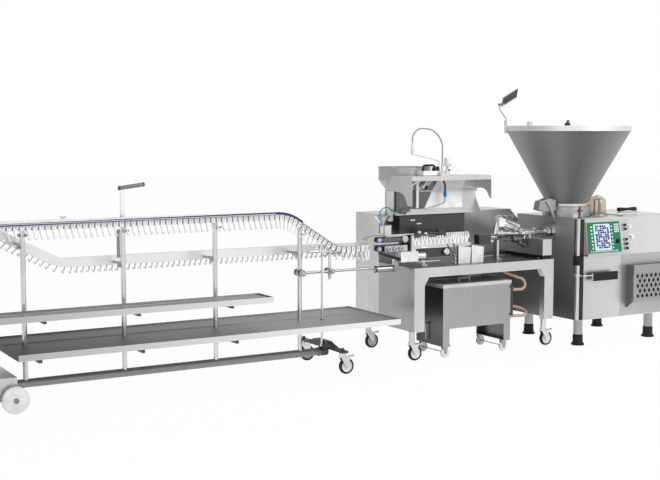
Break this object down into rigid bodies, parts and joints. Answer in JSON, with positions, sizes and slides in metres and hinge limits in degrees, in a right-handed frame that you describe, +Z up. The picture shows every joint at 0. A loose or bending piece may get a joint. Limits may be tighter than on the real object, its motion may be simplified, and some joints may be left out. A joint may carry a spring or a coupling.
{
  "type": "sausage filler",
  "caption": "Vacuum sausage filler with hopper, feeding a co-extrusion linker table and an overhead hook line with drip trays",
  "frame": {"origin": "on the floor under the middle of the line", "axes": "+X along the line towards the filler, +Y away from the operator, +Z up"},
  "size_m": [6.37, 1.1788, 2.2135],
  "materials": {
    "brushed_steel": "brushed stainless sheet",
    "bright_steel": "polished stainless",
    "cast_steel": "bead-blasted stainless casting",
    "black_rubber": "moulded rubber",
    "castor_tyre": "rubber tyre on a white disc",
    "white_plastic": "moulded white plastic",
    "violet_belt": "violet flat belt",
    "tan_hose": "translucent braided hose",
    "steel_hose": "steel braid",
    "tinted_glass": "tinted clear dome",
    "clear_plastic": "clear guard",
    "mirror_glass": "convex mirror",
    "panel_green": "green membrane panel",
    "red_cap": "red push cap",
    "black_cap": "black push cap"
  },
  "bodies": {
    "line_frame": {"filler_housing": "brushed_steel", "foot_boots": "black_rubber", "pump_casting": "cast_steel", "vacuum_dome": "tinted_glass", "control_panel": "panel_green", "table_frame": "brushed_steel", "rear_cabinet": "brushed_steel", "filling_pipe": "bright_steel", "coextrusion_head": "bright_steel", "gel_hopper": "brushed_steel", "hood": "brushed_steel", "linker_body": "brushed_steel", "linker_belts": "violet_belt", "link_cups": "white_plastic", "spray_hose": "steel_hose", "tank": "brushed_steel", "tank_hoses": "tan_hose", "base_tube": "bright_steel", "line_posts": "bright_steel", "upper_rail": "brushed_steel", "return_rail": "brushed_steel", "hook_chain": "white_plastic", "chain_drive": "brushed_steel", "upper_tray": "brushed_steel", "lower_tray": "brushed_steel", "bogie_beam": "cast_steel", "tie_rod": "bright_steel"},
    "hopper": {"hopper": "brushed_steel"},
    "mirror_arm": {"mirror_arm": "bright_steel"},
    "mirror": {"mirror": "mirror_glass"},
    "feed_auger": {"feed_auger": "bright_steel"},
    "front_screw": {"front_screw": "bright_steel"},
    "rear_screw": {"rear_screw": "bright_steel"},
    "lock_lever": {"lock_lever": "bright_steel"},
    "top_lid": {"top_lid": "brushed_steel"},
    "stop_button": {"stop_button": "red_cap"},
    "start_button": {"start_button": "black_cap"},
    "knee_lever": {"knee_lever": "black_rubber"},
    "folding_step": {"folding_step": "brushed_steel"},
    "valve_lever": {"valve_lever": "bright_steel"},
    "guard_flap": {"guard_flap": "clear_plastic"},
    "upper_belt_wheel": {"upper_belt_wheel": "white_plastic"},
    "lower_belt_wheel": {"lower_belt_wheel": "white_plastic"},
    "table_fork_left": {"table_fork_left": "bright_steel"},
    "table_fork_right": {"table_fork_right": "bright_steel"},
    "table_wheel_front_left": {"table_wheel_front_left": "castor_tyre"},
    "table_wheel_front_right": {"table_wheel_front_right": "castor_tyre"},
    "table_wheel_rear_left": {"table_wheel_rear_left": "castor_tyre"},
    "table_wheel_rear_right": {"table_wheel_rear_right": "castor_tyre"},
    "tank_lid": {"tank_lid": "brushed_steel"},
    "tank_wheels_left": {"tank_wheels_left": "castor_tyre"},
    "tank_wheels_right": {"tank_wheels_right": "castor_tyre"},
    "drive_wheel": {"drive_wheel": "white_plastic"},
    "idler_wheel": {"idler_wheel": "white_plastic"},
    "crank_handle": {"crank_handle": "bright_steel"},
    "line_fork_front": {"line_fork_front": "bright_steel"},
    "line_fork_rear": {"line_fork_rear": "bright_steel"},
    "line_wheel_front": {"line_wheel_front": "castor_tyre"},
    "line_wheel_rear": {"line_wheel_rear": "castor_tyre"},
    "axle_wheels": {"axle_wheels": "white_plastic"}
  },
  "joints": [
    {"name": "hopper_tilt", "type": "hinge", "parent": "line_frame", "child": "hopper", "pos_m": [2.25, 0.177, 1.2093], "axis": [-1, 0, 0], "range_deg": [0, 60]},
    {"name": "mirror_arm_swing", "type": "hinge", "parent": "hopper", "child": "mirror_arm", "pos_m": [1.7651, 0.2238, 1.92], "axis": [0, 0, 1], "range_deg": [-60, 60]},
    {"name": "mirror_tilt", "type": "hinge", "parent": "mirror_arm", "child": "mirror", "pos_m": [1.6991, 0.2238, 2.071], "axis": [0, 1, 0], "range_deg": [-30, 25]},
    {"name": "auger_spin", "type": "hinge", "parent": "line_frame", "child": "feed_auger", "pos_m": [2.25, -0.045, 1.2], "axis": [0, 0, 1], "continuous": true},
    {"name": "front_screw_spin", "type": "hinge", "parent": "line_frame", "child": "front_screw", "pos_m": [2.3, -0.095, 0.97], "axis": [1, 0, 0], "continuous": true},
    {"name": "rear_screw_spin", "type": "hinge", "parent": "line_frame", "child": "rear_screw", "pos_m": [2.3, 0.005, 0.97], "axis": [1, 0, 0], "continuous": true},
    {"name": "lock_lever_swing", "type": "hinge", "parent": "line_frame", "child": "lock_lever", "pos_m": [1.956, -0.137, 1.229], "axis": [0, 1, 0], "range_deg": [0, 110]},
    {"name": "lid_hinge", "type": "hinge", "parent": "line_frame", "child": "top_lid", "pos_m": [2.9, 0.23, 1.1083], "axis": [-1, 0, 0], "range_deg": [0, 60]},
    {"name": "stop_button_press", "type": "slide", "parent": "line_frame", "child": "stop_button", "axis": [0, 1, 0], "range_m": [0, 0.004], "stiffness_N_per_m": 300},
    {"name": "start_button_press", "type": "slide", "parent": "line_frame", "child": "start_button", "axis": [0, 1, 0], "range_m": [0, 0.004], "stiffness_N_per_m": 300},
    {"name": "knee_lever_swing", "type": "hinge", "parent": "line_frame", "child": "knee_lever", "pos_m": [2.085, -0.385, 0.612], "axis": [0, 0, 1], "range_deg": [-20, 5], "stiffness_Nm_per_rad": 6},
    {"name": "step_fold", "type": "hinge", "parent": "line_frame", "child": "folding_step", "pos_m": [2.874, -0.475, 0.358], "axis": [1, 0, 0], "range_deg": [0, 86]},
    {"name": "valve_lever_turn", "type": "hinge", "parent": "line_frame", "child": "valve_lever", "pos_m": [1.768, -0.045, 0.9], "axis": [0, 0, 1], "range_deg": [0, 90]},
    {"name": "guard_flap_swing", "type": "hinge", "parent": "line_frame", "child": "guard_flap", "pos_m": [0.89, 0.095, 1.1497], "axis": [-1, 0, 0], "range_deg": [0, 100]},
    {"name": "upper_belt_spin", "type": "hinge", "parent": "line_frame", "child": "upper_belt_wheel", "pos_m": [0.208, -0.125, 0.983], "axis": [0, 1, 0], "continuous": true},
    {"name": "lower_belt_spin", "type": "hinge", "parent": "line_frame", "child": "lower_belt_wheel", "pos_m": [0.208, -0.125, 0.911], "axis": [0, 1, 0], "continuous": true},
    {"name": "table_swivel_left", "type": "hinge", "parent": "line_frame", "child": "table_fork_left", "pos_m": [0.458, -0.242, 0.19], "axis": [0, 0, 1], "continuous": true},
    {"name": "table_swivel_right", "type": "hinge", "parent": "line_frame", "child": "table_fork_right", "pos_m": [1.828, -0.242, 0.19], "axis": [0, 0, 1], "continuous": true},
    {"name": "table_roll_front_left", "type": "hinge", "parent": "table_fork_left", "child": "table_wheel_front_left", "pos_m": [0.49, -0.242, 0.0625], "axis": [0, 1, 0], "continuous": true},
    {"name": "table_roll_front_right", "type": "hinge", "parent": "table_fork_right", "child": "table_wheel_front_right", "pos_m": [1.86, -0.242, 0.0625], "axis": [0, 1, 0], "continuous": true},
    {"name": "table_roll_rear_left", "type": "hinge", "parent": "line_frame", "child": "table_wheel_rear_left", "pos_m": [0.49, 0.411, 0.0625], "axis": [0, 1, 0], "continuous": true},
    {"name": "table_roll_rear_right", "type": "hinge", "parent": "line_frame", "child": "table_wheel_rear_right", "pos_m": [1.86, 0.411, 0.0625], "axis": [0, 1, 0], "continuous": true},
    {"name": "tank_lid_lift", "type": "slide", "parent": "line_frame", "child": "tank_lid", "axis": [0, 0, 1], "range_m": [0, 0.04]},
    {"name": "tank_roll_left", "type": "hinge", "parent": "line_frame", "child": "tank_wheels_left", "pos_m": [0.776, -0.105, 0.042], "axis": [0, 1, 0], "continuous": true},
    {"name": "tank_roll_right", "type": "hinge", "parent": "line_frame", "child": "tank_wheels_right", "pos_m": [1.379, -0.105, 0.042], "axis": [0, 1, 0], "continuous": true},
    {"name": "drive_wheel_spin", "type": "hinge", "parent": "line_frame", "child": "drive_wheel", "pos_m": [-3.026, -0.03, 1.21], "axis": [0, 0, 1], "continuous": true},
    {"name": "idler_wheel_spin", "type": "hinge", "parent": "line_frame", "child": "idler_wheel", "pos_m": [0.015, -0.03, 0.935], "axis": [0, 0, 1], "continuous": true},
    {"name": "crank_turn", "type": "hinge", "parent": "line_frame", "child": "crank_handle", "pos_m": [-1.922, -0.105, 1.245], "axis": [0, 0, 1], "continuous": true},
    {"name": "line_swivel_front", "type": "hinge", "parent": "line_frame", "child": "line_fork_front", "pos_m": [-0.29, -0.411, 0.15], "axis": [0, 0, 1], "continuous": true},
    {"name": "line_swivel_rear", "type": "hinge", "parent": "line_frame", "child": "line_fork_rear", "pos_m": [-0.29, 0.201, 0.15], "axis": [0, 0, 1], "continuous": true},
    {"name": "line_roll_front", "type": "hinge", "parent": "line_fork_front", "child": "line_wheel_front", "pos_m": [-0.258, -0.411, 0.0625], "axis": [0, 1, 0], "continuous": true},
    {"name": "line_roll_rear", "type": "hinge", "parent": "line_fork_rear", "child": "line_wheel_rear", "pos_m": [-0.258, 0.201, 0.0625], "axis": [0, 1, 0], "continuous": true},
    {"name": "axle_spin", "type": "hinge", "parent": "line_frame", "child": "axle_wheels", "pos_m": [-2.79, -0.105, 0.092], "axis": [0, 1, 0], "continuous": true}
  ],
  "couplings": [
    {"joint": "rear_screw_spin", "follows": "front_screw_spin", "ratio": -1},
    {"joint": "lower_belt_spin", "follows": "upper_belt_spin", "ratio": -1},
    {"joint": "idler_wheel_spin", "follows": "drive_wheel_spin", "ratio": 1}
  ]
}
